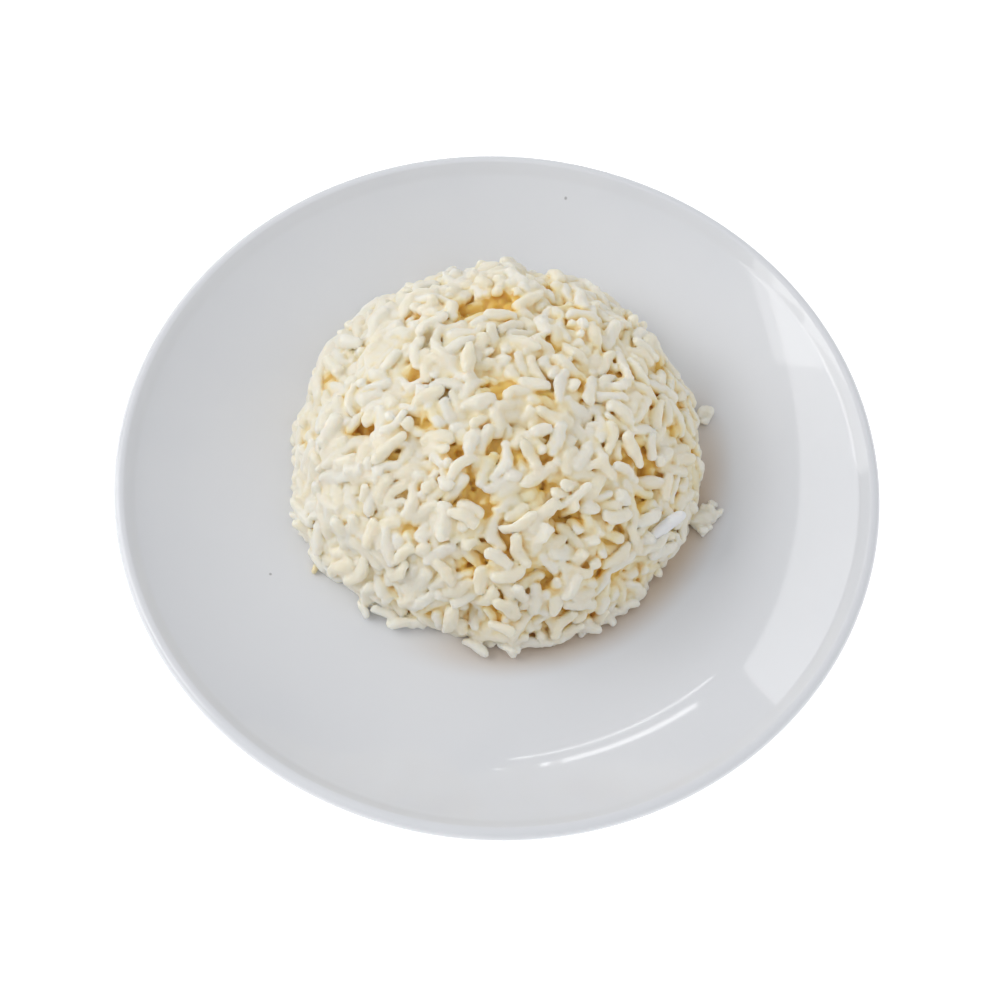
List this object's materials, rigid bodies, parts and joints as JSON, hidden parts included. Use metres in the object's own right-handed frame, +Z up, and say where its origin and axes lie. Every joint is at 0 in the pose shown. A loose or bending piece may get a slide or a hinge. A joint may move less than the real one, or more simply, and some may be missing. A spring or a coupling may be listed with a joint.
{
  "type": "plate of rice pilaf",
  "caption": "A bowl-moulded dome of buttered rice, set a little behind the middle of a round white coupe plate.",
  "frame": {"origin": "on the table, under the centre of the plate", "axes": "+Z up, -Y towards the diner, +X to the diner's right"},
  "size_m": [0.2, 0.2, 0.0497],
  "materials": {
    "porcelain": "smooth clear gloss glaze on white ware",
    "rice": "moist cooked grains, cream white outside and butter yellow in the gaps"
  },
  "bodies": {
    "root": {"plate": "porcelain", "rice_mound": "rice"}
  },
  "joints": []
}
